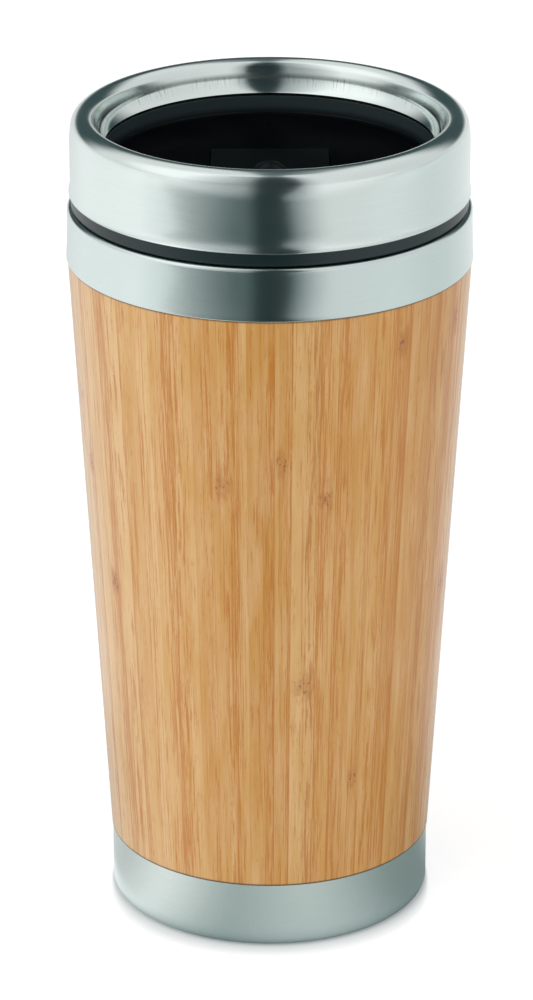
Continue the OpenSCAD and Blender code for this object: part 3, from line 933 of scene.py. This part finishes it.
def moulding(name, coat_roughness, roughness, darkest, lightest):
    """Starts a black moulding, with its mould's grain and slow marks of the melt, and gives its black."""
    finish = Finish(name, Specular_IOR_Level=0.0, Coat_Roughness=coat_roughness)
    spot = finish.vector(*finish.place())
    satin_grain = finish.noise(spot, 2600.0)
    flow = finish.noise(spot, 90.0, 3.0)
    finish.feed(
        Roughness=roughness + 0.05 * flow + 0.05 * satin_grain,
        Normal=finish.bump(satin_grain, 0.006, 0.3),
    )
    return finish, finish.mix(flow.ramp(0.3, 0.7), darkest, lightest)


# Painted sheen: the flange's black is lighter and teal, and the dish's wall lighter still, than the dish's
# floor.
FLANGE_PAINTED_SHEEN, WALL_PAINTED_SHEEN = (0.005, 0.015, 0.016), (0.025, 0.036, 0.039)
plastic, black = moulding("black_plastic", 0.28, 0.27, (0.0014, 0.0022, 0.0026), (0.0024, 0.0033, 0.0038))
x, y, z = plastic.place()
reach, high = plastic.from_axis(x, y) / MM, z / MM
outside = reach.ramp(THROAT_R + 1, THROAT_R + 2)
on_wall = reach.ramp(DISH_R - 0.3, DISH_R - 0.02) * high.ramp(FLOOR_Z + 0.1, FLOOR_Z + 2.4)
in_dish = reach.ramp(DISH_R + 0.01, DISH_R - 0.12) * high.ramp(FLOOR_Z - 0.6, FLOOR_Z - 0.1)
plastic.feed(
    Base_Color=plastic.mix(on_wall, plastic.mix(outside, black, FLANGE_PAINTED_SHEEN), WALL_PAINTED_SHEEN),
    Coat_Weight=0.35 + 0.40 * on_wall + 0.45 * outside - 0.33 * in_dish,
)
plastic.dress(lid_body, frame["nodes"]["slider_clip"])

# %% [markdown]
# The drink gate is the same plastic, its black painted a shade lighter as sheen on its top face. Thumbs
# have rubbed the nub, so it shines more.

# %% Moulded gate
# Painted sheen: the gate's blacks are lighter than the lid's, for the light on its top face.
gate_plastic, gate_painted_sheen = moulding("gate_plastic", 0.26, 0.30, (0.0030, 0.0046, 0.0050), (0.0042, 0.0060, 0.0065))
x, y, z = gate_plastic.place()
rubbed = (z / MM).ramp(FLOOR_Z + 2.4, FLOOR_Z + 4.4)
gate_plastic.feed(Base_Color=gate_painted_sheen, Coat_Weight=0.05 + 0.20 * rubbed)
gate_plastic.dress(slider)

# %% [markdown]
# ## Silicone
# The seal is duller than the plastic, and fine dust clings to it in spots.

# %% Silicone
silicone = Finish("silicone", Specular_IOR_Level=0.35)
dust = silicone.noise(silicone.vector(*silicone.place()), 900.0, 4.0).ramp(0.55, 0.8)
silicone.feed(
    Base_Color=silicone.mix(dust, (0.028, 0.028, 0.029), (0.05, 0.05, 0.05)),
    Roughness=0.62 + 0.12 * dust,
    Normal=silicone.bump(dust, 0.01, 0.3),
)
silicone.dress(lid_seal)

# %% [markdown]
# ## The studio
# Steel shows what stands around it, so a photographer builds the room for its reflections. The mug stands on
# a pale light table. The table glows, which thins the shadows, and the glow fades close to the foot, which
# leaves a soft contact shadow in front.

# %% Floor
FLOOR_HALF, GLOW = 20, 0.60


def studio_sheet(name, corners):
    """A plain four-cornered sheet, in metres."""
    bm = bmesh.new()
    bm.faces.new([bm.verts.new(c) for c in corners])
    return finish_mesh(bm, name)


floor_corners = [(-1, -1), (1, -1), (1, 1), (-1, 1)]
floor = studio_sheet("floor", [(FLOOR_HALF * a, FLOOR_HALF * b, 0) for a, b in floor_corners])
paper = Finish("floor_paper", Roughness=0.9, Specular_IOR_Level=0.1, Emission_Strength=GLOW)
x, y, z = paper.place()
reach = paper.from_axis(x, y)
spread = 0.1 + 0.9 * (y / reach).ramp(0.0, -1.0)
from_foot = (reach / MM - BASE_R) / spread
fading = from_foot.ramp(-0.8, 6.2, "LINEAR")
weave = paper.noise(paper.vector(x, y, z), 40.0, 3.0)
paper.feed(
    Base_Color=paper.mix(weave, (0.59, 0.59, 0.59), (0.62, 0.62, 0.62)),
    Emission_Color=paper.mix(fading, (0.22, 0.25, 0.25), (1, 1, 1)),
)
paper.dress(floor)

# %% [markdown]
# In front of the mug stands the dark gap that the camera looks through. It gives the steel its dark centre
# line. The gap is painted on a wide felt card that only reflections see, so it casts no shadow. Beside the
# gap the felt thins out into a teal half shadow: high up a halo that is wider on the left, and low down a
# long wing to the left and a faint one to the right. The gap's right edge leans, as it does in the steel of
# the photograph.

# %% Felt card
CARD_Y, CARD_HALF, CARD_TOP = -0.30, 6.0, 1.05


def only_in_mirrors(thing):
    """Hides a studio sheet from everything but reflections."""
    for ray in ("camera", "diffuse", "transmission", "volume_scatter", "shadow"):
        setattr(thing, "visible_" + ray, False)


card_corners = [(-CARD_HALF, 0), (CARD_HALF, 0), (CARD_HALF, CARD_TOP), (-CARD_HALF, CARD_TOP)]
card = studio_sheet("dark_card", [(a, CARD_Y, up) for a, up in card_corners])
only_in_mirrors(card)
felt = Finish("card_felt", Roughness=1.0, Specular_IOR_Level=0.0)
x, y, z = felt.place()
low = z.ramp(0.16, 0.085)
leaning = x + 0.9 * low * (z - 0.06)
slanted = x + 0.8 * (0.08 - z)
gap = x.ramp(-0.075, -0.025) * (leaning - 0.022 * z.ramp(0.10, 0.20)).ramp(0.078, 0.060)
halo = 0.64 * x.ramp(-0.36, -0.05, "LINEAR") * x.ramp(0.17, 0.06)
left_wing = 0.14 * slanted.ramp(-1.4, -0.45) + 0.74 * slanted.ramp(-0.56, -0.09, "LINEAR")
wings = left_wing * leaning.ramp(0.205, 0.05) + 0.26 * leaning.ramp(0.09, 0.21)
shade = (1.12 * (halo + low * (wings - halo))).at_most(1.0)
felt.feed(
    Base_Color=felt.mix(gap, (0.115, 0.170, 0.170), (0.026, 0.044, 0.048)),
    Alpha=shade + 0.98 * gap * (1 - shade),
)
felt.dress(card)

# %% [markdown]
# The base cup and the walls mirror the floor as well. A second felt sheet lies on it, again only for
# reflections, and shades it by direction. Close to the mug it sets what the base cup shows, and further out
# what the collar and the ring show.

# %% Floor flag
FLAG_Z, FLAG_HALF = 0.0002, 12.0
flag_corners = [(-FLAG_HALF, CARD_Y), (FLAG_HALF, CARD_Y), (FLAG_HALF, FLAG_HALF), (-FLAG_HALF, FLAG_HALF)]
flag = studio_sheet("floor_flag", [(*corner, FLAG_Z) for corner in flag_corners])
only_in_mirrors(flag)
slate = Finish("flag_felt", Roughness=1.0, Specular_IOR_Level=0.0, Base_Color=(0.15, 0.25, 0.245, 1))
x, y, z = slate.place()
reach, angle = slate.from_axis(x, y), slate.around(x, y)
print("floor flag:", 2 * FLAG_HALF, "m wide, from the card to the back")

# %% Shade at the foot
BACK_SHADE = 0.40
bright_spot = angle.ramp(-0.35, 0.35) * angle.ramp(1.25, 0.35)
left_edge = 0.36 * angle.ramp(-0.9, -1.7) * reach.ramp(0.034, 0.040)
right_side = 0.15 * angle.ramp(0.3, 1.4) - 0.35 * angle.ramp(1.6, 2.3)
front_foot = 0.02 + 0.64 * angle.ramp(-1.15, -0.25) - 0.19 * bright_spot + left_edge + right_side
in_front = abs(angle).ramp(2.8, 1.9)
foot_shade = BACK_SHADE + in_front * (front_foot - BACK_SHADE)
print("shade at the foot:", BACK_SHADE, "behind the mug, and by angle in front")

# %% Shade further out
aside = slate.around(x, y + 0.04)
to_front = aside.ramp(-1.55, -0.15, "LINEAR") * aside.ramp(0.73, 0.15)
front_shade = 0.80 * y.ramp(-0.07, -0.12) * to_front
left_shade = x.ramp(0.0, -0.04) * (0.07 + 0.28 * angle.ramp(-2.1, -3.0))
right_shade = x.ramp(0.02, 0.10) * (0.29 + 0.08 * y.ramp(-0.2, 0.15) - 0.14 * angle.ramp(1.7, 2.6))
further = front_shade.at_least(left_shade + right_shade)
at_foot = reach.ramp(0.13, 0.07)
slate.feed(Alpha=at_foot * foot_shade + (1 - at_foot) * further)
slate.dress(flag)
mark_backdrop(floor, card, flag)

# %% [markdown]
# A white tent surrounds the table. It is open behind the mug, and the dark room there darkens the top of the
# rolled rim. A slit overhead and a gap above the lens are dark as well, and the ring's inner wall mirrors
# them. A lamp behind the cloth makes a brighter patch at the upper left. The tent and the table are even
# enough that they need no light sampling of their own.

# %% Tent
WHITE, ROOM_DARK = (1, 1, 1), (0.055, 0.092, 0.094)
world = bpy.data.worlds.new("tent")
bpy.context.scene.world = world
world.use_nodes = True
tent = Wiring(world.node_tree)
x, y, z = tent.place("Generated")
opening = y.ramp(0.35, 0.75) * z.ramp(0.02, 0.22) * z.ramp(0.78, 0.55)
overhead = z.ramp(0.5, 0.6)
slit = x.ramp(-0.08, -0.035) * x.ramp(0.30, 0.16) * y.ramp(-0.08, 0.04) * (1 - 0.3 * x.ramp(0.02, 0.14))
lens_gap = 0.85 * x.ramp(-0.06, -0.03) * x.ramp(0.10, 0.07) * y.ramp(-0.46, -0.40) * y.ramp(0.04, -0.04)
dark = opening + (1 - opening) * overhead * (slit + (1 - slit) * lens_gap)
glow_spot = (-0.64 * x - 0.48 * y + 0.6 * z).ramp(0.72, 0.96)
backdrop = world.node_tree.nodes["Background"]
tent.connect(backdrop.inputs["Color"], tent.mix(dark, WHITE, ROOM_DARK))
tent.connect(backdrop.inputs["Strength"], 0.92 - 0.08 * x.ramp(0.45, 0.95) + 0.36 * glow_spot)
world.cycles.sampling_method = "NONE"
paper.material.cycles.emission_sampling = "NONE"
print("tent:", len(world.node_tree.nodes), "nodes, open at the back")

# %% [markdown]
# Two soft boxes light the wood from the left and the right. The tent alone would leave it flat. Reflections
# don't see them, so the steel shows only the tent and the felt.

# %% Soft boxes
BOX_SIZE, BOX_AIM = 1.3, (0, 0, 0.10)


def soft_box(name, place, brightness):
    """A square area light that looks as bright as asked, where 1 is the white of the picture."""
    light = bpy.data.lights.new(name, "AREA")
    light.shape, light.size = "SQUARE", BOX_SIZE
    light.energy = brightness * math.pi * BOX_SIZE * BOX_SIZE
    lamp = bpy.data.objects.new(name, light)
    lamp.location = place
    lamp.rotation_euler = (Vector(BOX_AIM) - Vector(place)).to_track_quat("-Z", "Y").to_euler()
    lamp.visible_glossy = False
    bpy.context.scene.collection.objects.link(lamp)
    print("soft box", name, "of", round(light.energy, 1), "W")


soft_box("left_box", (-1.0, -0.75, 0.75), 0.9)
soft_box("right_box", (1.2, -0.1, 0.5), 0.60)

# %% [markdown]
# ## The camera
# The photograph was taken from about a metre away with a long lens, looking down at 22 degrees. A fit of the
# mug's known edges gave the place and the focal length. The view transform is Standard, so that the pale
# floor can reach white as it does in the photograph.

# %% Camera
SENSOR_W, FOCAL, LOOK_DOWN, EYE = 36.0, 173.9, 22.15, (-0.0007, -0.9503, 0.4756)
long_lens = bpy.data.cameras.new("camera")
long_lens.sensor_width, long_lens.lens = SENSOR_W, FOCAL
camera = bpy.data.objects.new("camera", long_lens)
camera.location = EYE
camera.rotation_euler = (math.radians(90 - LOOK_DOWN), 0, 0)
bpy.context.scene.collection.objects.link(camera)
bpy.context.scene.camera = camera
bpy.context.scene.view_settings.view_transform = "Standard"
print("camera at", tuple(round(v, 3) for v in camera.location))

# %% [markdown]
# ## Measuring
# The dressed mug may not outgrow its solids, so the boxes of the solids and of the dressed mug are both
# measured, and the dressed mug's size is printed.

# %% Size
boxes = {"cad": cad_box, "visual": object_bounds()}
sizes = {name: [list(corner) for corner in pair] for name, pair in boxes.items()}
print("visual size, mm:", [round((b - a) / MM, 2) for a, b in zip(*sizes["visual"])])
